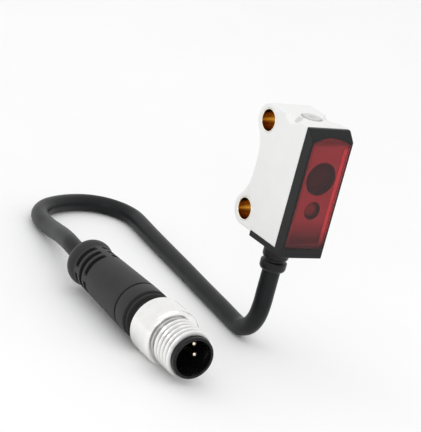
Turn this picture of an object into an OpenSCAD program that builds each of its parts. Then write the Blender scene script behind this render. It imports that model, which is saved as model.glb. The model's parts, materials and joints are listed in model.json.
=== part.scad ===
// Sub-miniature photoelectric sensor on a pigtail with an M8 plug.
// Origin: midway between the two mounting holes, on the middle plane.
// +Z runs up the sensor's height, X across its width, and the window faces -Y.

/* [Sensor body] */
// Width of the housing, along X
body_w = 8; // [7.8:0.1:8.4]
// Depth from the window to the back of the ears
body_d = 14.6; // [14.4:0.1:15]
// Height from the cover plate's underside to the top
body_h = 21.1; // [21:0.1:21.4]
// Thickness of the housing's side walls
wall = 0.8; // [0.7:0.05:0.9]

/* [Mounting holes] */
// Distance between the two mounting holes
hole_spacing = 15; // [14.9:0.1:15.1]
// Bore of the brass sleeves, for an M3 screw
hole_d = 3.4; // [3.2:0.05:3.4]
// Outside diameter of the brass sleeves
sleeve_d = 3.8; // [3.8:0.05:4]
// Radius of the rounded ear round each hole
ear_r = 2.7; // [2.6:0.05:2.8]
// Radius of the hollow curve between the ears
saddle_r = 6; // [5:0.5:7]

/* [Front cover and window] */
// Depth of the black front cap
cover_depth = 2.1; // [2:0.1:2.2]
// Thickness of the plate that the cap carries under the housing
plate_t = 0.9; // [0.8:0.05:1]
// Chamfer along the cap's top front edge
cover_chamfer = 1.5; // [1.3:0.1:1.6]
// Width of the window
window_w = 7.3; // [7:0.1:7.4]
// Rise of the window's arched top
window_rise = 0.9; // [0.6:0.1:1]

/* [Optics] */
// Diameter of the receiver lens
receiver_d = 5.4; // [5:0.1:5.5]
// Height of the receiver's axis above the origin
receiver_z = 2.3; // [2:0.1:2.5]
// Diameter of the emitter lens
emitter_d = 2.9; // [2.6:0.1:3]
// Height of the emitter's axis above the origin
emitter_z = -3; // [-3.2:0.1:-2.8]

/* [Teach button] */
// Diameter of the button
button_d = 2.9; // [2.6:0.1:3]
// How far the button goes down
button_travel = 0.25; // [0.1:0.05:0.25]

/* [Cable and plug] */
// Diameter of the cable
cable_d = 3; // [2.9:0.05:3]
// Major diameter of the plug's thread
thread_d = 8; // [7.9:0.05:8]
// Diameter of the coupling ring's grip
ring_d = 9.4; // [9.2:0.1:9.6]

/* [Hidden] */
$fn = 64;
fit = 0.02;
cut = 1;

// Outer limits of the sensor
ear_z = hole_spacing / 2;
top_z = ear_z + ear_r;
heel_z = -top_z;
bottom_z = top_z - body_h;
front_y = ear_r - body_d;
cover_y = front_y + cover_depth;
plate_z = bottom_z + plate_t;
plate_back_y = -2.9;
saddle_y = 0.3;
saddle_rise = sqrt(pow(ear_r + saddle_r, 2) - pow(saddle_y + saddle_r, 2));

// Inside of the housing
cavity_w = body_w - 2 * wall;
cavity_back_y = -2.9;
cavity_floor_z = -9.2;
cavity_top_z = 8.7;
rear_pocket_y = -0.6;
rear_pocket_z = 4.5;

// Window, its ledge and the opening behind it
window_bottom_z = -9.3;
window_side_z = 8.25;
window_back_y = front_y + 0.6;
ledge_y = window_back_y + 0.15;
opening_w = 6.4;
opening_bottom_z = -8.9;
opening_top_z = 8;

// Board and optics stack
board_front_y = -7;
board_t = 0.8;
board_back_y = board_front_y + board_t;
board_w = 5.8;
board_bottom_z = -8;
board_top_z = 7.9;
block_front_y = window_back_y + 0.1;
block_back_y = board_front_y - 0.1;
block_w = 6;
block_bottom_z = -8.6;
block_top_z = 7.8;

// Button stack, on one vertical axis
button_y = -5.3;
button_top_z = top_z + 0.15;
button_t = 0.9;
button_under_z = button_top_z - button_t;
stem_d = 1.2;
stem_end_z = 8.1;
seal_bore_d = 2.2;
seal_bore_top_z = button_under_z - button_travel - 0.05;
moat_d = 3.5;
moat_z = 9.8;
plunger_d = 1;
plunger_depth = 0.3;
switch_top_z = 7.6;

// Finger scallops and the light guides that come up in them
scallop_r = 2.45;
scallop_x = 4.5;
scallop_y = -5.7;
scallop_z = 11.45;
guide_d = 1.1;
guide_x = 2.65;
guide_bottom_z = 8;

// Cable gland
gland_y = -5.8;
gland_hole_d = 4.1;
cable_top_z = -8.9;

// Plug, drawn along its own +Z from its rear end and then laid down
plug_rear = [-18.45, 18.5, -24.5];
plug_turn = -4;
cable_in_plug = 5;
carrier_d = 6.9;
carrier_start = 17;
flange_d = 7.8;
flange_start = 25;
flange_end = 27;
ring_start = 25.4;
ring_end = 31.1;
thread_end = 37;
carrier_end = 37.9;
recess_d = 5.9;
recess_floor = 30.8;
pin_d = 1;
pin_r = 1.8;
pin_start = 16;
pin_tip = 35.5;
pin_angles = [50, -15, 197];
wire_d = 0.8;
wire_r = 1;
wire_start = cable_in_plug + 0.1;

// Slots that make the rear of the plug's grip bend
slot_start = 3.8;
slot_pitch = 1.7;
slot_w = 0.85;
slot_floor_r = 2.3;

// Centreline of the cable, from inside the housing to inside the plug
cable_route = [
    [0, -5.8, -8.9], [0, -5.8, -12], [0, -5.8, -15.5], [0, -5.8, -19], [0, -5.8, -21.5],
    [0.1, -5.3, -23.9], [0.3, -4, -25.9], [0.6, -2, -27.2], [1, 0.3, -27.7],
    [1.9, 6, -27.7], [3.1, 14, -27.7], [4.4, 22, -27.7], [5.6, 30, -27.7],
    [6.7, 37, -27.7], [7.5, 41.5, -27.7], [7.8, 44.5, -27.7], [7, 47.4, -27.7],
    [5, 49.6, -27.7], [2.2, 50.7, -27.7], [-1, 50.7, -27.7], [-4.5, 49.9, -27.7],
    [-8.3, 48.1, -27.7], [-11.2, 45.2, -27.7], [-12.8, 41.5, -27.5], [-13.8, 37.5, -27],
    [-14.9, 33.5, -26.2], [-16.2, 29.5, -25.3], [-17.3, 25.9, -24.7],
    [-17.9, 23.7, -24.5], [-18.25, 21.3, -24.5], [-18.45, 18.5, -24.5], [-18.8, 13.5, -24.5]
];
cable_sides = 8;

// Lays a flat outline, drawn as (y, z), along X and centred on it
module across(width) {
    rotate([90, 0, 90]) linear_extrude(width, center = true) children();
}

// Puts an outline drawn as (x, z) at y0 and gives it a thickness along +Y
module facing(y0, thickness) {
    translate([0, y0 + thickness, 0]) rotate([90, 0, 0]) linear_extrude(thickness) children();
}

// A box from one corner to the opposite one
module block(low, high) {
    translate(low) cube(high - low);
}

// A round bar between two points
module rod(from, to, diameter) {
    run = to - from;
    length = norm(run);
    translate(from)
        rotate([0, acos(run.z / length), atan2(run.y, run.x)])
            cylinder(h = length, d = diameter, $fn = 24);
}

module along_x(y, z) {
    translate([0, y, z]) rotate([0, 90, 0]) children();
}

// Turns a shape drawn along +Z so that it runs along -Y from y0
module along_minus_y(y0, z) {
    translate([0, y0, z]) rotate([90, 0, 0]) children();
}

module lay_plug() {
    translate(plug_rear) rotate([0, 0, plug_turn]) rotate([90, 0, 0]) children();
}

// One ear with the hollow curve that joins it to the flat of the saddle
module ear_outline() {
    centre = [saddle_y + saddle_r, ear_z - saddle_rise];
    translate([0, ear_z]) circle(ear_r);
    difference() {
        polygon([[0, ear_z], [saddle_y, centre.y], centre]);
        translate(centre) circle(saddle_r, $fn = 128);
    }
}

module housing_outline() {
    polygon([[cover_y, plate_z], [plate_back_y, plate_z], [plate_back_y, heel_z],
        [0, heel_z], [0, top_z], [cover_y, top_z]]);
    translate([0, -ear_z]) square([saddle_y, hole_spacing]);
    ear_outline();
    mirror([0, 1]) ear_outline();
}

module scallop(side) {
    translate([side * scallop_x, scallop_y, scallop_z]) sphere(scallop_r);
}

module button_axis() {
    translate([0, button_y, 0]) children();
}

module housing_shell() {
    color("white") difference() {
        across(body_w) housing_outline();
        block([-cavity_w / 2, cover_y - cut, cavity_floor_z],
            [cavity_w / 2, cavity_back_y, cavity_top_z]);
        block([-cavity_w / 2, cavity_back_y - cut, -rear_pocket_z],
            [cavity_w / 2, rear_pocket_y, rear_pocket_z]);
        for (z = [-ear_z, ear_z])
            along_x(0, z) cylinder(h = body_w + cut, d = sleeve_d + 2 * fit, center = true);
        button_axis() {
            translate([0, 0, cavity_top_z - cut]) cylinder(h = 2 * cut, d = seal_bore_d);
            translate([0, 0, seal_bore_top_z]) cylinder(h = 2 * cut, d = button_d + 0.1);
            translate([0, 0, moat_z]) cylinder(h = cut, d = moat_d);
        }
        for (side = [-1, 1]) {
            scallop(side);
            translate([side * guide_x, scallop_y, cavity_top_z - cut])
                cylinder(h = 3 * cut, d = guide_d + 2 * fit);
        }
        translate([0, gland_y, plate_z - cut]) cylinder(h = 2 * cut, d = gland_hole_d);
    }
}

// Side profile of the L-shaped cover: the front cap and the plate under the housing
module cover_outline() {
    polygon([[front_y, bottom_z], [plate_back_y, bottom_z], [plate_back_y, plate_z],
        [cover_y, plate_z], [cover_y, top_z], [front_y + cover_chamfer, top_z],
        [front_y, top_z - cover_chamfer]]);
}

// Window outline with an arched top, smaller all round by inset
module window_outline(inset) {
    half = window_w / 2;
    arch_r = (half * half + window_rise * window_rise) / (2 * window_rise);
    arch_z = window_side_z + window_rise - arch_r;
    straight_z = window_side_z - cut;
    left = -half + inset;
    width = window_w - 2 * inset;
    translate([left, window_bottom_z + inset])
        square([width, straight_z - window_bottom_z - inset]);
    intersection() {
        translate([left, straight_z - cut]) square([width, 4 * cut]);
        translate([0, arch_z]) circle(arch_r - inset, $fn = 180);
    }
}

module opening_outline() {
    translate([-opening_w / 2, opening_bottom_z])
        square([opening_w, opening_top_z - opening_bottom_z]);
}

module front_cover() {
    color("dimgray") difference() {
        across(body_w) cover_outline();
        facing(front_y - cut, ledge_y - front_y + cut) window_outline(-fit);
        facing(ledge_y - cut, cover_y - ledge_y + 2 * cut) opening_outline();
        translate([0, gland_y, bottom_z - cut])
            cylinder(h = plate_t + 2 * cut, d = gland_hole_d);
    }
}

module front_window() {
    color("firebrick") intersection() {
        facing(front_y, window_back_y - front_y) window_outline(0);
        across(body_w) cover_outline();
    }
}

module window_seal() {
    color("black") intersection() {
        facing(window_back_y, ledge_y - window_back_y) difference() {
            window_outline(0);
            opening_outline();
        }
        across(body_w) cover_outline();
    }
}

// A stepped bore in the optics block: a lens seat that narrows to the rear
module optic_bore(z, lens_d, seat_depth, front_d, rear_d) {
    along_minus_y(block_front_y + seat_depth, z)
        cylinder(h = seat_depth + cut, d = lens_d + 2 * fit);
    along_minus_y(block_back_y, z)
        cylinder(h = block_back_y - block_front_y - seat_depth, d1 = rear_d, d2 = front_d);
    along_minus_y(block_back_y + cut, z) cylinder(h = cut, d = rear_d);
}

module optics_block() {
    color("black") difference() {
        block([-block_w / 2, block_front_y, block_bottom_z],
            [block_w / 2, block_back_y, block_top_z]);
        optic_bore(receiver_z, receiver_d, 1.3, 4.6, 2.4);
        optic_bore(emitter_z, emitter_d, 1, 2.4, 1.8);
    }
}

// A lens with a flat back at y0 and a domed front
module domed_lens(y0, z, lens_d, dome_r, rim_t) {
    sag = dome_r - sqrt(dome_r * dome_r - lens_d * lens_d / 4);
    along_minus_y(y0, z) intersection() {
        cylinder(h = rim_t + sag, d = lens_d);
        translate([0, 0, rim_t + sag - dome_r]) sphere(dome_r);
    }
}

module receiver_lens() {
    color("darkred") domed_lens(block_front_y + 1.28, receiver_z, receiver_d, 4, 0.15);
}

module emitter_lens() {
    color("darkred") domed_lens(block_front_y + 0.98, emitter_z, emitter_d, 2, 0.25);
}

module emitter_led() {
    color("pink") {
        block([-0.6, board_front_y - 0.5, emitter_z - 0.6],
            [0.6, board_front_y, emitter_z + 0.6]);
        along_minus_y(board_front_y - 0.5, emitter_z) intersection() {
            sphere(0.5);
            cylinder(h = cut, r = cut);
        }
    }
}

module receiver_diode() {
    color("dimgray") block([-0.8, board_front_y - 0.6, receiver_z - 0.8],
        [0.8, board_front_y, receiver_z + 0.8]);
}

module circuit_board() {
    color("green") block([-board_w / 2, board_front_y, board_bottom_z],
        [board_w / 2, board_back_y, board_top_z]);
}

// A component on the rear face of the board: centre (x, z), width, height, thickness
module chip(x, z, w, h, t) {
    block([x - w / 2, board_back_y, z - h / 2], [x + w / 2, board_back_y + t, z + h / 2]);
}

module board_chips() {
    color("black") {
        chip(0, 2.2, 3, 3, 0.8);
        chip(0, -1.6, 2.4, 2, 0.9);
        for (x = [-2.1, 2.1]) {
            for (z = [-4.6, -3.2, -1.8])
                chip(x, z, 0.8, 0.5, 0.4);
            chip(x, 4.8, 1, 0.5, 0.5);
        }
    }
}

module status_leds() {
    color("yellowgreen") for (side = [-1, 1])
        block([side * 2.4 - 0.4, board_back_y, 7.1], [side * 2.4 + 0.4, board_back_y + 0.9, 7.9]);
}

module light_guides() {
    color("lightgray") for (side = [-1, 1]) difference() {
        translate([side * guide_x, scallop_y, guide_bottom_z])
            cylinder(h = top_z - guide_bottom_z, d = guide_d);
        scallop(side);
    }
}

module teach_button() {
    color("gainsboro") button_axis() difference() {
        union() {
            translate([0, 0, button_under_z]) cylinder(h = button_t, d = button_d);
            translate([0, 0, stem_end_z]) cylinder(h = button_under_z - stem_end_z, d = stem_d);
        }
        translate([0, 0, button_top_z - 0.3]) cylinder(h = cut, d = 1.1);
    }
}

module button_seal() {
    color("black") button_axis() translate([0, 0, cavity_top_z]) difference() {
        cylinder(h = 0.4, d = seal_bore_d - 2 * fit);
        translate([0, 0, -cut]) cylinder(h = 3 * cut, d = stem_d + 0.1);
    }
}

module switch_plunger() {
    height = stem_end_z - switch_top_z + plunger_depth;
    color("black") button_axis() translate([0, 0, stem_end_z - height])
        cylinder(h = height, d = plunger_d);
}

module tact_switch() {
    color("silver") difference() {
        block([-1.5, board_back_y, 6.2], [1.5, -4, switch_top_z]);
        button_axis() translate([0, 0, switch_top_z - plunger_depth - 2 * button_travel])
            cylinder(h = 2 * cut, d = plunger_d + 0.1);
    }
}

module sleeve(z) {
    color("goldenrod") along_x(0, z) difference() {
        cylinder(h = body_w, d = sleeve_d, center = true);
        cylinder(h = body_w + cut, d = hole_d, center = true);
    }
}

module upper_sleeve() { sleeve(ear_z); }

module lower_sleeve() { sleeve(-ear_z); }

module cable_gland() {
    color("black") translate([0, gland_y, 0]) rotate_extrude() {
        bore = cable_d / 2 + fit;
        polygon([[bore, -15.4], [1.9, -15.4], [2.15, -15.1], [2.15, -13.9], [1.95, -13.7],
            [1.8, -13.6], [1.8, -13.4], [1.95, -13.3], [2.15, -13.1], [2.15, -11.2],
            [2, bottom_z], [2, -9.15], [2.5, -9.15], [2.5, cable_top_z], [bore, cable_top_z]]);
    }
}

module core_wires() {
    color("brown") for (i = [0:3]) {
        x = i - 1.5;
        rod([x * 0.5, gland_y, cable_top_z], [x * 1.2, board_back_y + 0.35, -6.6], 0.5);
    }
}

// Unit vector from a to b
function toward(a, b) = (b - a) / norm(b - a);

// Direction of the route at point i
function heading(route, i) =
    toward(route[max(i - 1, 0)], route[min(i + 1, len(route) - 1)]);

// One side vector at each point, carried along the route without twisting
function carry(route, i, side) =
    let (t = heading(route, i), s = side - (side * t) * t) s / norm(s);
function sides(route, i = 0, side = [1, 0, 0]) =
    i == len(route) ? [] :
    let (s = carry(route, i, side)) concat([s], sides(route, i + 1, s));

module tube(route, radius, count) {
    side = sides(route);
    rings = [for (i = [0:len(route) - 1]) for (k = [0:count - 1])
        let (a = 360 * k / count, t = heading(route, i), up = cross(t, side[i]))
        route[i] + radius * (cos(a) * side[i] + sin(a) * up)];
    last = (len(route) - 1) * count;
    walls = [for (i = [0:len(route) - 2]) for (k = [0:count - 1])
        let (a = i * count + k, b = i * count + (k + 1) % count)
        [a, a + count, b + count, b]];
    caps = [[for (k = [0:count - 1]) k], [for (k = [count - 1:-1:0]) last + k]];
    polyhedron(rings, concat(walls, caps));
}

module cable() {
    color("black") tube(cable_route, cable_d / 2, cable_sides);
}

// A row of slots round the grip: its place in the rows, how many it has, and the arc of each
module slot_row(row, count, sweep) {
    for (i = [0:count - 1])
        translate([0, 0, slot_start + row * slot_pitch]) rotate([0, 0, 105 + i * 360 / count])
            rotate_extrude(angle = sweep) translate([slot_floor_r, 0]) square([2, slot_w]);
}

module plug_grip() {
    bore = cable_d / 2 + fit;
    color("dimgray") lay_plug() difference() {
        rotate_extrude() polygon([[bore, 0], [2.5, 0], [3.2, 0.5], [3.75, 1.1], [4, 1.9],
            [3.85, 2.7], [3.62, 3.3], [4.2, 19.05], [4.05, 19.15], [4.05, 19.45], [4.22, 19.55],
            [4.22, 22.6], [4.05, 22.7], [4.05, 23], [4.15, 23.1], [4.15, 23.6], [3.3, 23.8],
            [3.3, flange_start], [2.65, flange_start],
            [2.65, pin_start - 0.1], [pin_r + wire_d, pin_start - 0.1], [bore, cable_in_plug]]);
        slot_row(0, 4, 72);
        slot_row(1, 2, 160);
        slot_row(2, 4, 72);
    }
}

module pin_places() {
    for (a = pin_angles)
        translate([pin_r * cos(a), pin_r * sin(a), 0]) children();
}

module contact_carrier() {
    color("black") lay_plug() difference() {
        rotate_extrude() polygon([[0, carrier_start], [2.6, carrier_start], [2.6, flange_start],
            [flange_d / 2, flange_start], [flange_d / 2, flange_end], [carrier_d / 2, flange_end],
            [carrier_d / 2, carrier_end], [recess_d / 2, carrier_end],
            [recess_d / 2, recess_floor], [0, recess_floor]]);
        pin_places() translate([0, 0, pin_start])
            cylinder(h = recess_floor - pin_start + cut, d = pin_d + 2 * fit);
    }
}

module contact_pins() {
    color("gold") lay_plug() pin_places() {
        translate([0, 0, pin_start]) cylinder(h = pin_tip - pin_start - 0.3, d = pin_d);
        translate([0, 0, pin_tip - 0.3]) cylinder(h = 0.3, d1 = pin_d, d2 = 0.5);
    }
}

module coupling_ring() {
    bore = carrier_d / 2 + 0.05;
    counterbore = flange_d / 2 + 0.1;
    color("silver") lay_plug() rotate_extrude() polygon([
        [counterbore, ring_start], [ring_d / 2 - 0.3, ring_start], [ring_d / 2, ring_start + 0.3],
        [ring_d / 2, ring_end - 0.4], [ring_d / 2 - 0.4, ring_end], [thread_d / 2, ring_end],
        [thread_d / 2, thread_end - 0.5], [thread_d / 2 - 0.45, thread_end], [bore, thread_end],
        [bore, flange_end + 0.1], [counterbore, flange_end + 0.1]]);
}

// The three cores spread from the cable's end to the pins, inside the grip
module plug_wires() {
    color("brown") lay_plug() for (a = pin_angles)
        rod([wire_r * cos(a), wire_r * sin(a), wire_start],
            [pin_r * cos(a), pin_r * sin(a), pin_start], wire_d);
}

housing_shell();
front_cover();
front_window();
window_seal();
optics_block();
receiver_lens();
emitter_lens();
emitter_led();
receiver_diode();
circuit_board();
board_chips();
status_leds();
light_guides();
teach_button();
button_seal();
switch_plunger();
tact_switch();
upper_sleeve();
lower_sleeve();
cable_gland();
core_wires();
cable();
plug_grip();
contact_carrier();
contact_pins();
coupling_ring();
plug_wires();
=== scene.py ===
"""Photoelectric sensor with a pigtail and an M8 plug: its looks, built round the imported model.

Lengths are in millimetres in the part's own frame. A finished mesh is scaled to metres by MM.
"""
import json
import math

import bmesh
import bpy
from mathutils import Matrix, Quaternion, Vector


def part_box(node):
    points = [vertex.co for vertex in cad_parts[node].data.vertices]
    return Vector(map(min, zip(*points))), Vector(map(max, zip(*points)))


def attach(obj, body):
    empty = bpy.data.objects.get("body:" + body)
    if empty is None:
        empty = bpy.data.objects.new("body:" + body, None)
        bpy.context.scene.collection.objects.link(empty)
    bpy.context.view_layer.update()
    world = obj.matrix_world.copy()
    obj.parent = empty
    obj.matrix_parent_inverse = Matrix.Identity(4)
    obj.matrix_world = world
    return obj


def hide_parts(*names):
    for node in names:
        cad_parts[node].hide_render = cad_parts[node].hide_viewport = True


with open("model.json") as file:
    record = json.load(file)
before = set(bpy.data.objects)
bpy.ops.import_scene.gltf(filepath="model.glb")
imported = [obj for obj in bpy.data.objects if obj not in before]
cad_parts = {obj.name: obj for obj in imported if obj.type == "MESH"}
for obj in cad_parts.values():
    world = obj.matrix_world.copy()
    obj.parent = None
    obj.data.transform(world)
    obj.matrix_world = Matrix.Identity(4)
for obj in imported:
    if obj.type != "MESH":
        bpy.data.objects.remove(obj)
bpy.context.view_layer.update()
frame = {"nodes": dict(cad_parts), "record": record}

MM = 0.001
SHARP_ANGLE = math.radians(32)
MERGE = 1e-4
ON_AXIS = 1e-6
CORNER_SHARE = 0.45  # the most of an edge that one rounded corner takes
LEAST_MITRE = 0.3

SENSOR = "sensor"
BUTTON = "button"
COUPLING = "coupling"


# ---------------------------------------------------------------- places from the frame

def box_mm(node):
    """Lowest and highest corner of a CAD node, in millimetres."""
    low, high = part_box(node)
    return low / MM, high / MM


def by_name(rows):
    return {row["name"]: row for row in rows}


mounts = by_name(frame["record"]["mounts"])
joints = by_name(frame["record"]["behaviour"]["joints"])

shell_low, shell_high = box_mm("housing_shell")
cover_low, cover_high = box_mm("front_cover")
window_low, window_high = box_mm("front_window")
gland_low, gland_high = box_mm("cable_gland")
button_low, button_high = box_mm("teach_button")

half_width = shell_high.x
ear_r = shell_high.y
ear_z = mounts["mounting_holes"]["dims"]["spacing_y_mm"] / 2
hole_r = mounts["mounting_holes"]["dims"]["hole_r_mm"]
sleeve_r = box_mm("upper_sleeve")[1].y
top_z = shell_high.z
heel_z = shell_low.z
front_y = cover_low.y
cover_y = shell_low.y
plate_back_y = cover_high.y
bottom_z = cover_low.z
plate_z = -10.0

gland_y = (gland_low.y + gland_high.y) / 2
button_y = (button_low.y + button_high.y) / 2
floor_z = -29.2

# The plug is built along its own axis, from its rear end at 0 to the face of its insert
RING_JOINT_FROM_REAR = 28
plug_axis = Vector(joints["ring_turn"]["axis"]).normalized()
plug_rear = Vector(joints["ring_turn"]["pos_m"]) / MM - RING_JOINT_FROM_REAR * plug_axis


def frame_matrix(origin, x_axis, y_axis, z_axis):
    """The matrix that places a shape drawn along three axes at origin."""
    return Matrix.Translation(origin) @ Matrix((x_axis, y_axis, z_axis)).transposed().to_4x4()


up = Vector((0, 0, 1))
right = Vector((1, 0, 0))
back = Vector((0, 1, 0))
plug_place = frame_matrix(plug_rear, up.cross(plug_axis), up, plug_axis)
gland_place = frame_matrix(Vector((0, gland_y, 0)), right, back, up)
button_place = frame_matrix(Vector((0, button_y, 0)), right, back, up)


# ---------------------------------------------------------------- camera and cable first

CAMERA_AZIMUTH = -39.06
CAMERA_ELEVATION = 16.2
CAMERA_DISTANCE = 396
CAMERA_TARGET = Vector((-8.14, 2.55, -10.03))
CAMERA_ROLL = 15.04
CAMERA_LENS = 208.3


def make_camera():
    azimuth = math.radians(CAMERA_AZIMUTH)
    elevation = math.radians(CAMERA_ELEVATION)
    away = Vector((math.sin(azimuth) * math.cos(elevation),
                   -math.cos(azimuth) * math.cos(elevation), math.sin(elevation)))
    place = away * CAMERA_DISTANCE
    data = bpy.data.cameras.new("camera")
    data.lens = CAMERA_LENS
    data.sensor_width = 36
    data.clip_start = 0.01
    data.clip_end = 10
    camera = bpy.data.objects.new("camera", data)
    bpy.context.collection.objects.link(camera)
    camera.location = place * MM
    camera.rotation_mode = "QUATERNION"
    level = (CAMERA_TARGET - place).to_track_quat("-Z", "Y")
    camera.rotation_quaternion = level @ Quaternion((0, 0, 1), math.radians(CAMERA_ROLL))
    bpy.context.scene.camera = camera


make_camera()

CABLE_D = 3.0
# The route's points, from part.scad, are in metres
CABLE_ROUTE = [
    (0, -0.0058, -0.0089), (0, -0.0058, -0.012), (0, -0.0058, -0.0155), (0, -0.0058, -0.019),
    (0, -0.0058, -0.0215), (0.0001, -0.0053, -0.0239), (0.0003, -0.004, -0.0259),
    (0.0006, -0.002, -0.0272), (0.001, 0.0003, -0.0277), (0.0019, 0.006, -0.0277),
    (0.0031, 0.014, -0.0277), (0.0044, 0.022, -0.0277), (0.0056, 0.03, -0.0277),
    (0.0067, 0.037, -0.0277), (0.0075, 0.0415, -0.0277), (0.0078, 0.0445, -0.0277),
    (0.007, 0.0474, -0.0277), (0.005, 0.0496, -0.0277), (0.0022, 0.0507, -0.0277),
    (-0.001, 0.0507, -0.0277), (-0.0045, 0.0499, -0.0277), (-0.0083, 0.0481, -0.0277),
    (-0.0112, 0.0452, -0.0277), (-0.0128, 0.0415, -0.0275), (-0.0138, 0.0375, -0.027),
    (-0.0149, 0.0335, -0.0262), (-0.0162, 0.0295, -0.0253), (-0.0173, 0.0259, -0.0247),
    (-0.0179, 0.0237, -0.0245), (-0.01825, 0.0213, -0.0245), (-0.01845, 0.0185, -0.0245),
    (-0.0188, 0.0135, -0.0245),
]


# ---------------------------------------------------------------- shape helpers

def smooth_path(points, per_span):
    """A Catmull-Rom curve through the points."""
    route = [Vector(p) for p in points]
    ends = [2 * route[0] - route[1]] + route + [2 * route[-1] - route[-2]]
    path = []
    for i in range(1, len(ends) - 2):
        a, b, c, d = ends[i - 1:i + 3]
        for k in range(per_span):
            t = k / per_span
            path.append(0.5 * (2 * b + (c - a) * t + (2 * a - 5 * b + 4 * c - d) * t ** 2
                               + (3 * b - a - 3 * c + d) * t ** 3))
    path.append(route[-1])
    return path


def soften(profile, radius, steps=4):
    """Rounds each inner corner of a profile by up to radius."""
    points = [Vector(p) for p in profile]
    rounded = [points[0]]
    for i in range(1, len(points) - 1):
        before = points[i - 1] - points[i]
        after = points[i + 1] - points[i]
        reach = min(radius, before.length * CORNER_SHARE, after.length * CORNER_SHARE)
        start = points[i] + before.normalized() * reach
        end = points[i] + after.normalized() * reach
        for k in range(steps + 1):
            t = k / steps
            rounded.append((1 - t) ** 2 * start + 2 * t * (1 - t) * points[i] + t ** 2 * end)
    rounded.append(points[-1])
    return [tuple(p) for p in rounded]


def arc(centre, radius, start, end, steps):
    """Points along an arc, with its angles in degrees."""
    angles = [math.radians(start + (end - start) * k / steps) for k in range(steps + 1)]
    return [(centre[0] + radius * math.cos(a), centre[1] + radius * math.sin(a)) for a in angles]


def lathe_into(bm, profile, place, steps):
    """Spins a profile of (radius, height) about the z axis of place.

    A radius may be a function of the angle, which makes threads and slots.
    """
    rings = []
    for radius, height in profile:
        if not callable(radius) and radius < ON_AXIS:
            rings.append([bm.verts.new(place @ Vector((0, 0, height)))])
            continue
        ring = []
        for k in range(steps):
            angle = 2 * math.pi * k / steps
            r = radius(angle) if callable(radius) else radius
            ring.append(bm.verts.new(place @ Vector((r * math.cos(angle), r * math.sin(angle), height))))
        rings.append(ring)
    for lower, upper in zip(rings, rings[1:]):
        for k in range(steps):
            corners = [lower[k % len(lower)], lower[(k + 1) % len(lower)],
                       upper[(k + 1) % len(upper)], upper[k % len(upper)]]
            distinct = list(dict.fromkeys(corners))
            if len(distinct) > 2:
                bm.faces.new(distinct)


def split_large_faces(bm):
    bmesh.ops.triangulate(bm, faces=[face for face in bm.faces if len(face.verts) > 4])


def mesh_from(name, bm):
    bmesh.ops.remove_doubles(bm, verts=bm.verts, dist=MERGE)
    bmesh.ops.recalc_face_normals(bm, faces=bm.faces)
    split_large_faces(bm)
    mesh = bpy.data.meshes.new(name)
    bm.to_mesh(mesh)
    bm.free()
    return mesh


def lathe(name, profile, place, steps=96):
    bm = bmesh.new()
    lathe_into(bm, profile, place, steps)
    return mesh_from(name, bm)


def outline_insets(outline, inset):
    """Moves each point of a closed outline inward along its corner's bisector."""
    moved = []
    count = len(outline)
    for i in range(count):
        here = Vector(outline[i])
        before = (here - Vector(outline[i - 1])).normalized()
        after = (Vector(outline[(i + 1) % count]) - here).normalized()
        normal_a = Vector((-before.y, before.x))
        normal_b = Vector((-after.y, after.x))
        bisector = (normal_a + normal_b).normalized()
        reach = inset / max(bisector.dot(normal_a), LEAST_MITRE)
        moved.append(here + bisector * reach)
    return moved


def rounded_prism(name, outline, low, high, edge, to_point, steps=4):
    """Extrudes a counter-clockwise outline from low to high with rounded rims.

    to_point(u, v, w) turns outline and extrusion coordinates into a point in millimetres.
    """
    rows = [(low + edge * (1 - math.cos(math.pi / 2 * k / steps)),
             edge * (1 - math.sin(math.pi / 2 * k / steps))) for k in range(steps + 1)]
    rows += [(high - (w - low), inset) for w, inset in reversed(rows)]
    bm = bmesh.new()
    rings = []
    for w, inset in rows:
        points = outline_insets(outline, inset)
        rings.append([bm.verts.new(to_point(p.x, p.y, w)) for p in points])
    for lower, upper in zip(rings, rings[1:]):
        for k in range(len(lower)):
            n = (k + 1) % len(lower)
            bm.faces.new((lower[k], lower[n], upper[n], upper[k]))
    bm.faces.new(rings[0])
    bm.faces.new(rings[-1])
    return mesh_from(name, bm)


def across(u, v, w):
    """An outline drawn as (y, z), extruded along x."""
    return (w, u, v)


def facing(u, v, w):
    """An outline drawn as (x, z), extruded along y."""
    return (u, w, v)


def box_mesh(name, low, high):
    bm = bmesh.new()
    bmesh.ops.create_cube(bm, size=1)
    for vert in bm.verts:
        vert.co = [(low[i] + high[i]) / 2 + vert.co[i] * (high[i] - low[i]) for i in range(3)]
    return mesh_from(name, bm)


def ball_mesh(name, centre, radius):
    bm = bmesh.new()
    bmesh.ops.create_icosphere(bm, subdivisions=5, radius=radius)
    bmesh.ops.translate(bm, verts=bm.verts, vec=centre)
    return mesh_from(name, bm)


def link(mesh):
    obj = bpy.data.objects.new(mesh.name, mesh)
    bpy.context.collection.objects.link(obj)
    return obj


def evaluated_mesh(obj):
    graph = bpy.context.evaluated_depsgraph_get()
    return bpy.data.meshes.new_from_object(obj.evaluated_get(graph))


def carve(mesh, cutters, operation="DIFFERENCE"):
    """The mesh with each cutter taken out of it, or kept in common with it."""
    obj = link(mesh)
    tools = [link(cutter) for cutter in cutters]
    for tool in tools:
        modifier = obj.modifiers.new("carve", "BOOLEAN")
        modifier.operation = operation
        modifier.solver = "EXACT"
        modifier.object = tool
    bpy.context.view_layer.update()
    bm = bmesh.new()
    bm.from_mesh(evaluated_mesh(obj))
    for extra in [obj, *tools]:
        bpy.data.objects.remove(extra)
    bmesh.ops.dissolve_degenerate(bm, edges=bm.edges, dist=MERGE)
    split_large_faces(bm)
    result = bpy.data.meshes.new(mesh.name)
    bm.to_mesh(result)
    bm.free()
    return result


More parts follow.
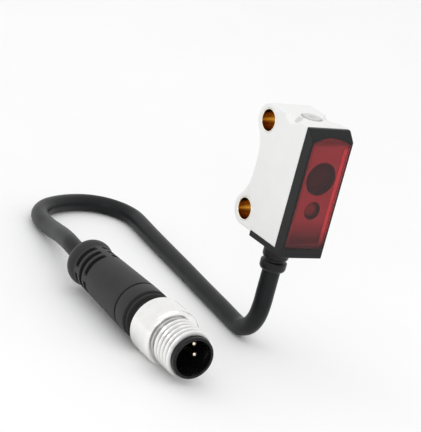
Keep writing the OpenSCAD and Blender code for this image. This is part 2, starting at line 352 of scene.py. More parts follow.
def piece(name, mesh, body, material, node, weighted=False):
    """Makes a shown piece that rides on a body and takes the place of a CAD node."""
    mesh.transform(Matrix.Scale(MM, 4))
    obj = link(mesh)
    obj.name = name
    mesh.name = name
    mesh.materials.clear()
    mesh.materials.append(material)
    for polygon in mesh.polygons:
        polygon.use_smooth = True
    mesh.set_sharp_from_angle(angle=SHARP_ANGLE)
    if weighted:
        modifier = obj.modifiers.new("weigh_normals", "WEIGHTED_NORMAL")
        modifier.keep_sharp = True
    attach(obj, body)
    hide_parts(node)
    return obj


# ---------------------------------------------------------------- material helpers

class Nodes:
    """A short way to write a material's node tree. Coordinates come out in millimetres."""

    def __init__(self, name):
        self.material = bpy.data.materials.new(name)
        self.material.use_nodes = True
        self.tree = self.material.node_tree
        self.shader = self.tree.nodes["Principled BSDF"]

    def add(self, kind, **settings):
        node = self.tree.nodes.new(kind)
        for key, value in settings.items():
            if key in node.inputs:
                node.inputs[key].default_value = value
            else:
                setattr(node, key, value)
        return node

    def join(self, source, target):
        self.tree.links.new(source, target)

    def set(self, **values):
        for key, value in values.items():
            self.shader.inputs[key.replace("_", " ")].default_value = value

    def coordinates(self, scale=(1, 1, 1)):
        source = self.add("ShaderNodeTexCoord")
        mapping = self.add("ShaderNodeMapping")
        mapping.inputs["Scale"].default_value = [s / MM for s in scale]
        self.join(source.outputs["Object"], mapping.inputs["Vector"])
        return mapping.outputs["Vector"]

    def noise(self, vector, scale, detail, roughness=0.5):
        node = self.add("ShaderNodeTexNoise", Scale=scale, Detail=detail, Roughness=roughness)
        self.join(vector, node.inputs["Vector"])
        return node.outputs["Fac"]

    def ramp(self, value, stops):
        node = self.add("ShaderNodeValToRGB")
        elements = node.color_ramp.elements
        while len(elements) < len(stops):
            elements.new(0.5)
        for element, (position, colour) in zip(elements, stops):
            element.position = position
            element.color = (*colour, 1)
        self.join(value, node.inputs["Fac"])
        return node.outputs["Color"]

    def remap(self, value, low, high, to_low, to_high):
        node = self.add("ShaderNodeMapRange")
        for key, number in (("From Min", low), ("From Max", high), ("To Min", to_low), ("To Max", to_high)):
            node.inputs[key].default_value = number
        self.join(value, node.inputs["Value"])
        return node.outputs["Result"]

    def mix(self, factor, a, b):
        """A blend of two colours, through the Mix node's own colour sockets 6, 7 and 2."""
        node = self.add("ShaderNodeMix", data_type="RGBA")
        for value, socket in ((factor, node.inputs["Factor"]), (a, node.inputs[6]), (b, node.inputs[7])):
            if isinstance(value, bpy.types.NodeSocket):
                self.join(value, socket)
            elif isinstance(value, (int, float)):
                socket.default_value = value
            else:
                socket.default_value = (*value, 1)
        return node.outputs[2]

    def along(self, vector, axis):
        """One coordinate of a vector: "X", "Y" or "Z"."""
        node = self.add("ShaderNodeSeparateXYZ")
        self.join(vector, node.inputs["Vector"])
        return node.outputs[axis]

    def math(self, operation, a, b=None):
        node = self.add("ShaderNodeMath", operation=operation)
        for value, socket in zip((a, b), node.inputs):
            if isinstance(value, bpy.types.NodeSocket):
                self.join(value, socket)
            elif value is not None:
                socket.default_value = value
        return node.outputs["Value"]

    def bump(self, height, depth):
        """The normal of a relief that is depth millimetres high where height is 1."""
        node = self.add("ShaderNodeBump", Strength=1.0, Distance=depth * MM)
        self.join(height, node.inputs["Height"])
        return node.outputs["Normal"]

    def reach(self, origin, operation, vector):
        """How long each point's vector from origin is, once multiplied by or crossed with vector."""
        offset = self.add("ShaderNodeVectorMath", operation="SUBTRACT")
        self.join(self.coordinates(), offset.inputs[0])
        offset.inputs[1].default_value = origin
        product = self.add("ShaderNodeVectorMath", operation=operation)
        self.join(offset.outputs["Vector"], product.inputs[0])
        product.inputs[1].default_value = vector
        length = self.add("ShaderNodeVectorMath", operation="LENGTH")
        self.join(product.outputs["Vector"], length.inputs[0])
        return length.outputs["Value"]


# ---------------------------------------------------------------- materials

# Painted shade on the optics block: near-black in its lens bores, and darker towards its foot.
BORE_PAINTED_SHADE = (0.004, 0.003, 0.003)
BORE_RIM = 0.03
BLOCK_FOOT_PAINTED_SHADE = (0.05, 0.045, 0.045)
BLOCK_FADE = (-8, -4.5)

# Painted light on the window's seal: lit towards +X, with painted shade at its foot and its crown.
SEAL_SHADED = (0.3, 0.25, 0.26)
SEAL_LIT = (0.9, 0.72, 0.72)
SEAL_FOOT_PAINTED_SHADE = (0.05, 0.04, 0.04)
SEAL_CROWN_PAINTED_SHADE = (0.16, 0.15, 0.15)
SEAL_SIDE_FADE = (-3.6, 3.6)
SEAL_FOOT_FADE = (-9, -6)
SEAL_CROWN_FADE = (7.2, 8.2)

# Painted shade on the sleeves' bore walls, and a painted highlight on their end faces.
BORE_WALL_PAINTED_SHADE = (0.45, 0.25, 0.07)
END_FACE_PAINTED_HIGHLIGHT = (0.97, 0.9, 0.74)
BORE_WALL_SHADE_FADE = (0.2, 1.6)
SLEEVE_END_FADE = (3.85, 3.95)

# Painted shade in the thread's roots.
ROOT_PAINTED_SHADE = (0.3, 0.3, 0.3)
THREAD_FADE = (3.45, 3.92)


def plastic(name, colour, roughness, grain, relief, variation, specular=0.5):
    """Moulded plastic or rubber: a fine grain and slight variation in colour and gloss."""
    nodes = Nodes(name)
    place = nodes.coordinates()
    broad = nodes.noise(place, 0.35, 2)
    fine = nodes.noise(place, 1 / grain, 4, 0.6)
    dark = [c * (1 - variation) for c in colour]
    light = [min(1, c * (1 + variation)) for c in colour]
    base = nodes.ramp(broad, [(0.3, dark), (0.7, light)])
    nodes.join(base, nodes.shader.inputs["Base Color"])
    rough = nodes.remap(fine, 0.2, 0.8, roughness - 0.05, roughness + 0.08)
    nodes.join(rough, nodes.shader.inputs["Roughness"])
    nodes.join(nodes.bump(fine, relief), nodes.shader.inputs["Normal"])
    nodes.set(Specular_IOR_Level=specular)
    return nodes.material


def bored_plastic(name, colour, bores):
    """Plastic with painted shade: darker towards its foot, and near-black in round bores along y given as
    (height, radius).
    """
    nodes = Nodes(name)
    place = nodes.coordinates()
    grain = nodes.noise(place, 5, 4, 0.6)
    base = nodes.ramp(grain, [(0.3, [c * 0.92 for c in colour]), (0.7, colour)])
    # Painted shade: darker towards the block's foot.
    lit = nodes.remap(nodes.along(place, "Z"), *BLOCK_FADE, 0, 1)
    base = nodes.mix(lit, BLOCK_FOOT_PAINTED_SHADE, base)
    # Painted shade: near-black inside each lens bore.
    for height, radius in bores:
        reach = nodes.reach((0, 0, height), "MULTIPLY", (1, 0, 1))
        inside = nodes.remap(reach, radius, radius + BORE_RIM, 1, 0)
        base = nodes.mix(inside, base, BORE_PAINTED_SHADE)
    nodes.join(base, nodes.shader.inputs["Base Color"])
    nodes.join(nodes.bump(grain, 0.003), nodes.shader.inputs["Normal"])
    nodes.set(Roughness=0.5, Specular_IOR_Level=0.3)
    return nodes.material


def gasket(name):
    """Foam with painted light and shade: palest towards +X where painted light falls, painted shade at the
    foot and the crown.
    """
    nodes = Nodes(name)
    place = nodes.coordinates()
    grain = nodes.noise(place, 9, 4, 0.6)
    # Painted light: lit towards +X, shaded towards -X.
    side = nodes.remap(nodes.along(place, "X"), *SEAL_SIDE_FADE, 0, 1)
    base = nodes.ramp(side, [(0.1, SEAL_SHADED), (0.9, SEAL_LIT)])
    # Painted shade at the foot and at the crown.
    foot = nodes.remap(nodes.along(place, "Z"), *SEAL_FOOT_FADE, 0, 1)
    base = nodes.mix(foot, SEAL_FOOT_PAINTED_SHADE, base)
    crown = nodes.remap(nodes.along(place, "Z"), *SEAL_CROWN_FADE, 0, 1)
    base = nodes.mix(crown, base, SEAL_CROWN_PAINTED_SHADE)
    nodes.join(base, nodes.shader.inputs["Base Color"])
    nodes.join(nodes.bump(grain, 0.01), nodes.shader.inputs["Normal"])
    nodes.set(Roughness=0.8, Specular_IOR_Level=0.2)
    return nodes.material


def shaded_bore(nodes, base):
    """Painted shade that deepens above and below a sleeve's axis, with a painted highlight on its end
    faces.
    """
    place = nodes.coordinates()
    height = nodes.math("ABSOLUTE", nodes.along(place, "Z"))
    reach = nodes.math("ABSOLUTE", nodes.math("SUBTRACT", height, ear_z))
    middle = nodes.remap(reach, *BORE_WALL_SHADE_FADE, 1, 0)
    end = nodes.remap(nodes.math("ABSOLUTE", nodes.along(place, "X")), *SLEEVE_END_FADE, 0, 1)
    return nodes.mix(end, nodes.mix(middle, BORE_WALL_PAINTED_SHADE, base), END_FACE_PAINTED_HIGHLIGHT)


def shaded_roots(nodes, base):
    """Painted shade: the plating is greyer near the plug's axis, in the thread's roots, than on its crests.
    """
    reach = nodes.reach(plug_rear, "CROSS_PRODUCT", plug_axis)
    crest = nodes.remap(reach, *THREAD_FADE, 0, 1)
    return nodes.mix(crest, ROOT_PAINTED_SHADE, base)


def turned_metal(name, colour, roughness, scale, tint=None, shade=None):
    """Turned metal: fine lines round the axis, where scale is large along that axis.

    tint is the colour of its stains, and shade(nodes, base) paints light and shade into its colour by
    place.
    """
    nodes = Nodes(name)
    lines = nodes.noise(nodes.coordinates(scale), 1, 5, 0.7)
    stains = nodes.noise(nodes.coordinates(), 0.6, 3)
    dull = tint or [c * 0.86 for c in colour]
    base = nodes.ramp(stains, [(0.35, dull), (0.6, colour)])
    if shade:
        base = shade(nodes, base)
    nodes.join(base, nodes.shader.inputs["Base Color"])
    nodes.join(nodes.remap(lines, 0.25, 0.75, roughness * 0.7, roughness * 1.5),
               nodes.shader.inputs["Roughness"])
    nodes.join(nodes.bump(lines, 0.001), nodes.shader.inputs["Normal"])
    nodes.set(Metallic=1.0)
    return nodes.material


def clear(name, colour, roughness, transmission, ior, specular=0.5):
    """A clear, tinted or nearly opaque moulding with faint flow marks."""
    nodes = Nodes(name)
    marks = nodes.noise(nodes.coordinates(), 0.6, 2)
    pale = [min(1, c * 1.06) for c in colour]
    nodes.join(nodes.ramp(marks, [(0.3, colour), (0.7, pale)]), nodes.shader.inputs["Base Color"])
    nodes.join(nodes.remap(marks, 0.3, 0.7, roughness, roughness * 1.6), nodes.shader.inputs["Roughness"])
    nodes.set(Transmission_Weight=transmission, IOR=ior, Specular_IOR_Level=specular)
    return nodes.material


def printed_board(name):
    """Green solder mask over fine copper tracks."""
    nodes = Nodes(name)
    tracks = nodes.add("ShaderNodeTexBrick", Scale=1.0)
    tracks.inputs["Mortar Size"].default_value = 0.06
    tracks.inputs["Brick Width"].default_value = 1.3
    tracks.inputs["Row Height"].default_value = 0.45
    tracks.inputs["Color1"].default_value = (0.01, 0.11, 0.05, 1)
    tracks.inputs["Color2"].default_value = (0.012, 0.13, 0.055, 1)
    tracks.inputs["Mortar"].default_value = (0.04, 0.26, 0.12, 1)
    turned = nodes.add("ShaderNodeMapping")
    turned.inputs["Rotation"].default_value = (math.pi / 2, 0, 0)
    nodes.join(nodes.coordinates(), turned.inputs["Vector"])
    nodes.join(turned.outputs["Vector"], tracks.inputs["Vector"])
    nodes.join(tracks.outputs["Color"], nodes.shader.inputs["Base Color"])
    nodes.join(nodes.bump(tracks.outputs["Fac"], -0.02), nodes.shader.inputs["Normal"])
    nodes.set(Roughness=0.28)
    return nodes.material


lens_boxes = [box_mm("receiver_lens"), box_mm("emitter_lens")]
lens_bores = [((low.z + high.z) / 2, (high.z - low.z) / 2 + BORE_RIM) for low, high in lens_boxes]

white_plastic = plastic("white_plastic", (0.83, 0.83, 0.825), 0.4, 0.12, 0.002, 0.012, 0.4)
cover_plastic = plastic("cover_plastic", (0.011, 0.0115, 0.0115), 0.3, 0.12, 0.003, 0.12, 0.2)
grip_plastic = plastic("grip_plastic", (0.02, 0.02, 0.021), 0.45, 0.2, 0.006, 0.12, 0.28)
gland_plastic = plastic("gland_plastic", (0.008, 0.008, 0.009), 0.3, 0.2, 0.003, 0.12, 0.25)
jacket_plastic = plastic("jacket_plastic", (0.008, 0.0085, 0.0095), 0.38, 0.25, 0.006, 0.2, 0.2)
insert_plastic = plastic("insert_plastic", (0.005, 0.005, 0.0055), 0.25, 0.2, 0.002, 0.1, 0.25)
block_shaded_plastic = bored_plastic("block_shaded_plastic", (0.42, 0.4, 0.4), lens_bores)
gasket_foam = gasket("gasket_foam")
button_plastic = plastic("button_plastic", (0.62, 0.62, 0.615), 0.4, 0.12, 0.003, 0.02, 0.4)
seal_rubber = plastic("seal_rubber", (0.02, 0.02, 0.02), 0.7, 0.1, 0.006, 0.1, 0.3)
chip_epoxy = plastic("chip_epoxy", (0.02, 0.02, 0.023), 0.5, 0.08, 0.004, 0.1)
wire_insulation = plastic("wire_insulation", (0.16, 0.07, 0.03), 0.4, 0.3, 0.002, 0.1)
# Brass with real stains, plus painted shade in its bores and a painted highlight on its end faces.
brass_metal = turned_metal("brass_metal", (0.92, 0.73, 0.38), 0.14, (14, 1.2, 1.2),
                           (0.84, 0.62, 0.27), shaded_bore)
# Nickel with real stains, plus painted shade in the thread's roots.
nickel_metal = turned_metal("nickel_metal", (0.95, 0.945, 0.935), 0.16, (0.8, 12, 0.8),
                            (0.91, 0.905, 0.895), shaded_roots)
gold_metal = turned_metal("gold_metal", (0.96, 0.86, 0.64), 0.18, (2, 10, 2))
switch_metal = turned_metal("switch_metal", (0.6, 0.6, 0.6), 0.3, (10, 2, 2))
window_red = clear("window_red", (0.9, 0.24, 0.27), 0.03, 1.0, 1.35, specular=0.1)
# The receiver lens's near-black colour is painted shade of its deep aperture; its low specular stands for a
# coating.
lens_coated_painted_shade = clear("lens_coated_painted_shade", (0.02, 0.012, 0.012), 0.05, 0.2, 1.4, specular=0.05)
lens_bright = clear("lens_bright", (0.09, 0.01, 0.012), 0.06, 0.3, 1.6, specular=1.0)
guide_clear = clear("guide_clear", (0.68, 0.69, 0.68), 0.3, 0.1, 1.45)
led_clear = clear("led_clear", (0.9, 0.6, 0.55), 0.08, 0.6, 1.5)
board_green = printed_board("board_green")


# ---------------------------------------------------------------- sensor housing and cover

HOUSING_EDGE = 0.22
SADDLE_Y = 0.3
SADDLE_R = 6
SCALLOP_CENTRE = (4.5, -5.7, 11.45)
SCALLOP_R = 2.45
MOAT_R = 1.75
MOAT_Z = 9.8
GUIDE_X = 2.65
GUIDE_R = 0.57
CAVITY_HALF = 3.2
CAVITY_LOW = -9.2
CAVITY_HIGH = 8.7
CAVITY_BACK_Y = -2.9
POCKET_START_Y = -3.5
POCKET_BACK_Y = -0.6
POCKET_HALF_Z = 4.5
STEM_HOLE_R = 1.5
INSIDE_Z = 8  # a level inside the cavity, where the cutters for holes in the top start
ABOVE_Z = 11
MOUTH_FLARE = 0.08
GLAND_HOLE_R = 2.05


def housing_outline():
    """Side outline of the housing as (y, z), with its two ears and the saddle between them."""
    fillet_y = SADDLE_Y + SADDLE_R
    reach = math.sqrt((ear_r + SADDLE_R) ** 2 - fillet_y ** 2)
    fillet_z = ear_z - reach
    lean = math.degrees(math.atan2(reach, fillet_y))
    forward = cover_y - 1
    lower = arc((0, -ear_z), ear_r, -90, lean, 28)
    lower += arc((fillet_y, -fillet_z), SADDLE_R, 180 + lean, 180, 14)[1:]
    upper = [(y, -z) for y, z in reversed(lower)]
    heel = [(forward, plate_z), (plate_back_y, plate_z), (plate_back_y, heel_z)]
    return heel + lower + upper + [(forward, top_z)]


def ear_hole(z):
    """A cutter for a mounting hole, with slightly rounded mouths."""
    radius = sleeve_r + 0.02
    step = MOUTH_FLARE * 0.3
    mouth = [(radius, half_width - MOUTH_FLARE), (radius + step, half_width - step),
             (radius + MOUTH_FLARE, half_width), (radius + MOUTH_FLARE, half_width + 1),
             (0, half_width + 1)]
    profile = [(r, -h) for r, h in reversed(mouth)] + mouth
    return lathe("ear_hole", profile, frame_matrix(Vector((0, 0, z)), up, back, -right), 64)


def gland_hole():
    """A cutter for the gland's hole, through the foot of the housing and of the cover."""
    profile = [(0, -12), (GLAND_HOLE_R, -12), (GLAND_HOLE_R, -9), (0, -9)]
    return lathe("gland_hole", profile, gland_place)


def make_housing():
    solid = rounded_prism("housing", housing_outline(), -half_width, half_width, HOUSING_EDGE, across)
    cutters = [
        box_mesh("front_cut", (-5, cover_y - 3, -12), (5, cover_y, 12)),
        box_mesh("cavity", (-CAVITY_HALF, cover_y - 1, CAVITY_LOW),
                 (CAVITY_HALF, CAVITY_BACK_Y, CAVITY_HIGH)),
        box_mesh("rear_pocket", (-CAVITY_HALF, POCKET_START_Y, -POCKET_HALF_Z),
                 (CAVITY_HALF, POCKET_BACK_Y, POCKET_HALF_Z)),
        ear_hole(-ear_z),
        ear_hole(ear_z),
    ]
    lip_r = MOAT_R + 0.12
    moat = soften([(0, INSIDE_Z), (STEM_HOLE_R, INSIDE_Z), (STEM_HOLE_R, MOAT_Z), (MOAT_R, MOAT_Z),
                   (MOAT_R, top_z - 0.05), (lip_r, top_z + 0.03), (lip_r, ABOVE_Z), (0, ABOVE_Z)], 0.06)
    cutters.append(lathe("moat", moat, button_place))
    guide = [(0, INSIDE_Z), (GUIDE_R, INSIDE_Z), (GUIDE_R, ABOVE_Z), (0, ABOVE_Z)]
    for side in (-1, 1):
        centre = (side * SCALLOP_CENTRE[0], SCALLOP_CENTRE[1], SCALLOP_CENTRE[2])
        cutters.append(ball_mesh("scallop", centre, SCALLOP_R))
        place = frame_matrix(Vector((side * GUIDE_X, SCALLOP_CENTRE[1], 0)), right, back, up)
        cutters.append(lathe("guide_hole", guide, place, 48))
    cutters.append(gland_hole())
    mesh = carve(solid, cutters)
    piece("housing", mesh, SENSOR, white_plastic, "housing_shell", weighted=True)


CHAMFER = 1.5
COVER_EDGE = 0.1
COVER_CORNER_R = 0.2
WINDOW_SIDE_Z = 8.25
WINDOW_ARCH_RISE = 0.9
LEDGE_Y = -11.15


def cover_outline():
    return [(front_y, bottom_z), (plate_back_y, bottom_z), (plate_back_y, plate_z),
            (cover_y, plate_z), (cover_y, top_z), (front_y + CHAMFER, top_z), (front_y, top_z - CHAMFER)]


def rounded_cover_outline():
    """The cover's side outline with its corners rounded by more than its rims are."""
    corners = cover_outline()
    closed = [corners[-1]] + corners + [corners[0]]
    return soften(closed, COVER_CORNER_R)[1:-1]


def window_outline(inset=0.0):
    """Window outline as (x, z), with an arched top."""
    half = window_high.x
    arch_r = (half ** 2 + WINDOW_ARCH_RISE ** 2) / (2 * WINDOW_ARCH_RISE)
    arch_z = WINDOW_SIDE_Z + WINDOW_ARCH_RISE - arch_r
    lean = math.degrees(math.asin(half / arch_r))
    top = arc((0, arch_z), arch_r - inset, 90 - lean, 90 + lean, 24)
    low = window_low.z + inset
    points = [(-half + inset, low), (half - inset, low)]
    points += [(max(-half + inset, min(half - inset, x)), z) for x, z in top]
    return points


def make_cover():
    solid = rounded_prism("cover", rounded_cover_outline(), -half_width, half_width, COVER_EDGE, across, 3)
    pocket = rounded_prism("pocket", window_outline(-0.02), front_y - 1, LEDGE_Y, 0.001, facing, 1)
    cutters = [
        pocket,
        box_mesh("opening", (-CAVITY_HALF, LEDGE_Y - 0.5, -8.9), (CAVITY_HALF, cover_y + 1, 8)),
        gland_hole(),
    ]
    mesh = carve(solid, cutters)
    piece("cover", mesh, SENSOR, cover_plastic, "front_cover", weighted=True)


def make_window():
    """The window, cut back to the cover's rounded corners."""
    slab = rounded_prism("window", window_outline(), front_y, window_high.y - 0.02, 0.07, facing, 3)
    limit = rounded_prism("limit", rounded_cover_outline(), -half_width, half_width, COVER_EDGE, across, 3)
    mesh = carve(slab, [limit], "INTERSECT")
    piece("window", mesh, SENSOR, window_red, "front_window", weighted=True)


SEAL_LIP_HALF = 2.92
SEAL_LIP_LOW = -8.5
SEAL_LIP_HIGH = 7.7


def make_seal():
    """The window's seal, with a thin lip that covers the gap round the optics block."""
    low, _ = box_mm("window_seal")
    sheet = rounded_prism("seal", window_outline(0.03), low.y + 0.005, low.y + 0.08, 0.02, facing, 2)
    hole = box_mesh("seal_hole", (-SEAL_LIP_HALF, low.y - 1, SEAL_LIP_LOW),
                    (SEAL_LIP_HALF, low.y + 1, SEAL_LIP_HIGH))
    piece("seal", carve(sheet, [hole]), SENSOR, gasket_foam, "window_seal")


def make_lens(name, node, dome_r, material):
    low, high = box_mm(node)
    radius = (high.x - low.x) / 2
    centre_z = (high.z + low.z) / 2
    sag = dome_r - math.sqrt(dome_r ** 2 - radius ** 2)
    rise = high.y - low.y
    place = frame_matrix(Vector((0, high.y, centre_z)), right, up, -back)
    rim = soften([(0, 0), (radius, 0), (radius, rise - sag)], 0.05)
    steps = 20
    reaches = [radius * math.cos(math.pi / 2 * k / steps) for k in range(1, steps)]
    dome = [(r, rise - dome_r + math.sqrt(dome_r ** 2 - r ** 2)) for r in reaches]
    profile = rim + dome + [(0, rise)]
    piece(name, lathe(name, profile, place, 64), SENSOR, material, node)


def make_sleeve(name, node, z):
    place = frame_matrix(Vector((0, 0, z)), up, back, -right)
    end = half_width
    half = [(hole_r, 0), (hole_r, end - 0.08), (hole_r + 0.07, end), (sleeve_r - 0.03, end),
            (sleeve_r, end - 0.05)]
    profile = soften(half + [(r, -h) for r, h in reversed(half)], 0.03)
    piece(name, lathe(name, profile, place), SENSOR, brass_metal, node)


STEM_R = 0.6
CAP_R = 1.45
CAP_Z = 9.45
DIMPLE_DEPTH = 0.3


def make_button():
    stem = button_low.z
    top = button_high.z
    dimple = top - DIMPLE_DEPTH
    rounded = soften([(STEM_R, stem), (STEM_R, CAP_Z), (CAP_R, CAP_Z), (CAP_R, top), (0.62, top),
                      (0.5, top - 0.08), (0.42, dimple)], 0.1, 5)
    mesh = lathe("button_cap", [(0, stem)] + rounded + [(0, dimple)], button_place)
    piece("button_cap", mesh, BUTTON, button_plastic, "teach_button")


# ---------------------------------------------------------------- gland and cable

CABLE_BORE_R = CABLE_D / 2 + 0.02


def make_gland():
    """The strain relief, with a groove round it under the cover and a flange inside."""
    mouth = (CABLE_BORE_R, -15.3)
    profile = soften([mouth, (1.62, -15.4), (1.9, -15.4), (2.15, -15.0), (2.15, -13.9),
                      (1.85, -13.7), (1.8, -13.4), (2.1, -13.2), (2.15, -12.8), (2.15, -11.4),
                      (2.0, bottom_z), (2.0, -9.15), (2.5, -9.15), (2.5, gland_high.z),
                      (CABLE_BORE_R, gland_high.z), mouth], 0.22, 5)
    mesh = lathe("gland", profile, gland_place)
    piece("gland", mesh, SENSOR, gland_plastic, "cable_gland")


def tube(name, path, radius, sides):
    """A round tube along a path, without twist."""
    bm = bmesh.new()
    rings = []
    angles = [2 * math.pi * k / sides for k in range(sides)]
    side = Vector((1, 0, 0))
    for i, point in enumerate(path):
        ahead = path[min(i + 1, len(path) - 1)] - path[max(i - 1, 0)]
        ahead.normalize()
        side = (side - side.dot(ahead) * ahead).normalized()
        over = ahead.cross(side)
        ring = [point + radius * (math.cos(a) * side + math.sin(a) * over) for a in angles]
        rings.append([bm.verts.new(place) for place in ring])
    for lower, upper in zip(rings, rings[1:]):
        for k in range(sides):
            n = (k + 1) % sides
            bm.faces.new((lower[k], lower[n], upper[n], upper[k]))
    bm.faces.new(rings[0])
    bm.faces.new(rings[-1])
    return mesh_from(name, bm)


def make_cable():
    path = smooth_path(CABLE_ROUTE, 6)
    mesh = tube("cable_tube", [point / MM for point in path], CABLE_D / 2, 32)
    cable = piece("cable_tube", mesh, SENSOR, jacket_plastic, "cable")
    return cable, path


# ---------------------------------------------------------------- plug

# Stations are distances from the plug's rear end along its axis
SLOT_ROWS = [(4, 72), (2, 160), (4, 72)]  # how many slots, and the arc of each in degrees
SLOT_FIRST_ANGLE = 105
SLOT_START = 3.8
SLOT_PITCH = 1.7
SLOT_WIDTH = 0.85
SLOT_FLOOR = 2.32
SLOT_EDGE = 0.06
SLOT_END_DEGREES = 4
SLOTTED_START = 3.55
SLOTTED_END = 8.3
SLOTTED_STEPS = 110
GRIP_NECK = (3.62, 3.3)  # radius, station
GRIP_WAIST = (4.2, 19.05)
FLANGE_START = 25
HOLLOW_START = 15.9


def ramp_between(value, low, high):
    """Rises smoothly from 0 at low to 1 at high."""
    t = max(0, min(1, (value - low) / (high - low)))
    return t * t * (3 - 2 * t)


def grip_radius(height):
    """The grip widens evenly from its neck to its waist."""
    slope = (GRIP_WAIST[0] - GRIP_NECK[0]) / (GRIP_WAIST[1] - GRIP_NECK[1])
    return GRIP_NECK[0] + slope * (height - GRIP_NECK[1])


def slotted(height):
    """Radius round the grip at one height, less where a slot is cut."""
    outer = grip_radius(height)

    def radius(angle):
        depth = 0
        for row, (count, sweep) in enumerate(SLOT_ROWS):
            start = SLOT_START + row * SLOT_PITCH
            end = start + SLOT_WIDTH
            along = min(ramp_between(height, start - SLOT_EDGE, start + SLOT_EDGE),
                        1 - ramp_between(height, end - SLOT_EDGE, end + SLOT_EDGE))
            turn = (math.degrees(angle) - SLOT_FIRST_ANGLE) % (360 / count)
            around = min(ramp_between(turn, 0, SLOT_END_DEGREES),
                         1 - ramp_between(turn, sweep - SLOT_END_DEGREES, sweep))
            depth = max(depth, along * around)
        return outer - depth * (outer - SLOT_FLOOR)
    return radius


def make_grip():
    """The grip: a rounded rear, the slotted stretch, two grooves in front, and the hollow inside."""
    rear = soften([(CABLE_BORE_R, 0), (2.4, 0), (3.2, 0.45), (3.78, 1.1), (4, 1.9), (3.88, 2.7),
                   GRIP_NECK, (grip_radius(SLOTTED_START), SLOTTED_START)], 0.5, 6)
    span = SLOTTED_END - SLOTTED_START
    heights = [SLOTTED_START + span * k / SLOTTED_STEPS for k in range(1, SLOTTED_STEPS)]
    slots = [(slotted(height), height) for height in heights]
    front = soften([(grip_radius(SLOTTED_END), SLOTTED_END), GRIP_WAIST, (3.9, 19.12), (3.9, 19.45),
                    (4.22, 19.52), (4.22, 22.2), (3.7, 22.35), (3.7, 22.95), (4.1, 23.05), (4.1, 23.3),
                    (3.3, 23.5), (3.3, FLANGE_START), (2.65, FLANGE_START), (2.65, HOLLOW_START),
                    (2.6, HOLLOW_START), (CABLE_BORE_R, 5), (CABLE_BORE_R, 0)], 0.1)
    mesh = lathe("grip", rear + slots + front, plug_place, 180)
    return piece("grip", mesh, SENSOR, grip_plastic, "plug_grip")


INSERT_R = 3.45
INSERT_START = 17
INSERT_END = 37.9
INSERT_CHAMFER = 0.15
SHANK_R = 2.6
FLANGE_R = 3.9
FLANGE_END = 27
RECESS_R = 2.95
RECESS_FLOOR = 30.8
RECESS_CHAMFER = 0.12
CENTRE_R = 0.0001


def make_insert():
    profile = soften([(CENTRE_R, INSERT_START), (SHANK_R, INSERT_START), (SHANK_R, FLANGE_START),
                      (FLANGE_R, FLANGE_START), (FLANGE_R, FLANGE_END), (INSERT_R, FLANGE_END),
                      (INSERT_R, INSERT_END - INSERT_CHAMFER), (INSERT_R - INSERT_CHAMFER, INSERT_END),
                      (RECESS_R + RECESS_CHAMFER, INSERT_END), (RECESS_R, INSERT_END - RECESS_CHAMFER),
                      (RECESS_R, RECESS_FLOOR), (CENTRE_R, RECESS_FLOOR)], 0.06)
    mesh = lathe("insert", profile, plug_place)
    return piece("insert", mesh, SENSOR, insert_plastic, "contact_carrier")


PIN_R = 0.5
PIN_CIRCLE_R = 1.8
PIN_ANGLES = (50, -15, 197)
PIN_START = 16
PIN_TIP = 35.5
PIN_NOSE = 0.4


def make_pins():
    nose = [(r, PIN_TIP - PIN_NOSE + h * PIN_NOSE / PIN_R) for r, h in arc((0, 0), PIN_R, 0, 90, 8)[:-1]]
    profile = [(0, PIN_START), (PIN_R, PIN_START)] + nose + [(0, PIN_TIP)]
    bm = bmesh.new()
    for angle in PIN_ANGLES:
        a = math.radians(angle)
        offset = (PIN_CIRCLE_R * math.cos(a), PIN_CIRCLE_R * math.sin(a), 0)
        lathe_into(bm, profile, plug_place @ Matrix.Translation(offset), 32)
    return piece("pins", mesh_from("pins", bm), SENSOR, gold_metal, "contact_pins")


RING_R = 4.7
RING_BORE_R = 3.5
RING_START = 25.4
RING_END = 31.1
SOCKET_R = 4.0  # the wider rear of the ring's bore, round the insert's flange
SOCKET_END = 27.1
THREAD_PITCH = 1.0
THREAD_CREST = 4.0
THREAD_ROOT = 3.42
THREAD_START = 31.7
THREAD_END = 37.0
THREAD_ROOT_FLAT = 0.16  # shares of half a pitch
THREAD_FLANK = 0.66
THREAD_TAPER = 0.9


def threaded(height):
    """Radius round the barrel at one height: a sixty-degree thread with flat crests."""
    def radius(angle):
        phase = (height / THREAD_PITCH - angle / (2 * math.pi)) % 1
        flank = min(1, max(0, (abs(phase - 0.5) * 2 - THREAD_ROOT_FLAT) / THREAD_FLANK))
        crest = THREAD_CREST - max(0, height - (THREAD_END - 0.5)) * THREAD_TAPER
        lead = ramp_between(height, THREAD_START, THREAD_START + THREAD_PITCH / 2)
        crest = THREAD_ROOT + (crest - THREAD_ROOT) * lead
        return min(crest, THREAD_ROOT + (THREAD_CREST - THREAD_ROOT) * flank)
    return radius


def make_ring():
    rear = soften([(SOCKET_R, RING_START), (RING_R - 0.22, RING_START), (RING_R, RING_START + 0.3),
                   (RING_R, RING_END - 0.45), (RING_R - 0.4, RING_END), (3.75, RING_END),
                   (THREAD_ROOT, RING_END + 0.2), (THREAD_ROOT, THREAD_START)], 0.1, 4)
    stations = int((THREAD_END - THREAD_START) / THREAD_PITCH * 16)
    heights = [THREAD_START + (THREAD_END - THREAD_START) * k / stations for k in range(1, stations + 1)]
    thread = [(threaded(h), h) for h in heights]
    front = soften([(RING_BORE_R + 0.04, THREAD_END), (RING_BORE_R, THREAD_END - 0.04),
                    (RING_BORE_R, SOCKET_END), (SOCKET_R, SOCKET_END), (SOCKET_R, RING_START)], 0.02, 2)
    mesh = lathe("ring", rear + thread + front, plug_place, 144)
    return piece("ring", mesh, COUPLING, nickel_metal, "coupling_ring")


# ---------------------------------------------------------------- CAD nodes that keep their shape

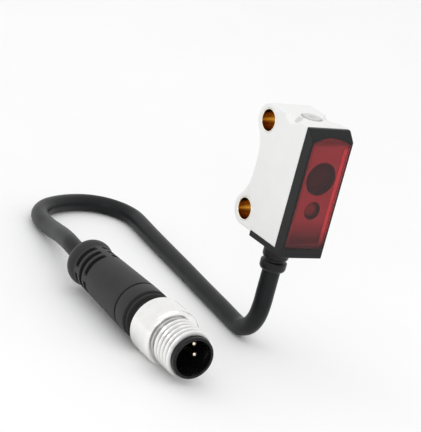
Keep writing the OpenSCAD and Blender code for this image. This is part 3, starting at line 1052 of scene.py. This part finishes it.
CAD_FINISHES = {
    "optics_block": block_shaded_plastic, "emitter_led": led_clear,
    "receiver_diode": chip_epoxy, "circuit_board": board_green, "board_chips": chip_epoxy,
    "status_leds": led_clear, "light_guides": guide_clear, "button_seal": seal_rubber,
    "switch_plunger": chip_epoxy, "tact_switch": switch_metal, "core_wires": wire_insulation,
    "plug_wires": wire_insulation,
}


def finish_cad_nodes():
    for node, material in CAD_FINISHES.items():
        mesh = frame["nodes"][node].data
        mesh.materials.clear()
        mesh.materials.append(material)


# ---------------------------------------------------------------- floor and light

LIGHTS = [  # name, place and size in millimetres, power in watts
    ("overhead", (-60, 20, 500), 800, 0.52),
    ("front", (-230, -330, 170), 120, 0.2),
]


def make_stage():
    floor_mesh = box_mesh("floor", (-3000, -3000, floor_z - 5), (3000, 3000, floor_z))
    floor_mesh.transform(Matrix.Scale(MM, 4))
    nodes = Nodes("floor")
    tone = nodes.noise(nodes.coordinates((0.02, 0.02, 0.02)), 1, 2)
    nodes.join(nodes.ramp(tone, [(0.3, (0.93, 0.93, 0.93)), (0.7, (0.95, 0.95, 0.95))]),
               nodes.shader.inputs["Base Color"])
    nodes.set(Roughness=0.6, Specular_IOR_Level=0.1)
    floor_mesh.materials.append(nodes.material)
    link(floor_mesh)

    world = bpy.data.worlds.new("studio")
    world.use_nodes = True
    world.node_tree.nodes["Background"].inputs["Color"].default_value = (1, 1, 1, 1)
    world.node_tree.nodes["Background"].inputs["Strength"].default_value = 0.92
    bpy.context.scene.world = world
    bpy.context.scene.view_settings.view_transform = "Standard"

    for name, place, size, power in LIGHTS:
        data = bpy.data.lights.new(name, "AREA")
        data.size = size * MM
        data.energy = power
        light = bpy.data.objects.new(name, data)
        bpy.context.collection.objects.link(light)
        light.location = Vector(place) * MM
        light.rotation_mode = "QUATERNION"
        light.rotation_quaternion = (-light.location).to_track_quat("-Z", "Y")


# ---------------------------------------------------------------- everything

make_stage()
finish_cad_nodes()
make_housing()
make_cover()
make_window()
make_seal()
make_lens("receiver_dome", "receiver_lens", 4, lens_coated_painted_shade)
make_lens("emitter_dome", "emitter_lens", 2, lens_bright)
make_sleeve("upper_bush", "upper_sleeve", ear_z)
make_sleeve("lower_bush", "lower_sleeve", -ear_z)
make_button()
make_gland()
cable, cable_path = make_cable()
plug_pieces = [make_grip(), make_insert(), make_pins(), make_ring(), frame["nodes"]["plug_wires"]]
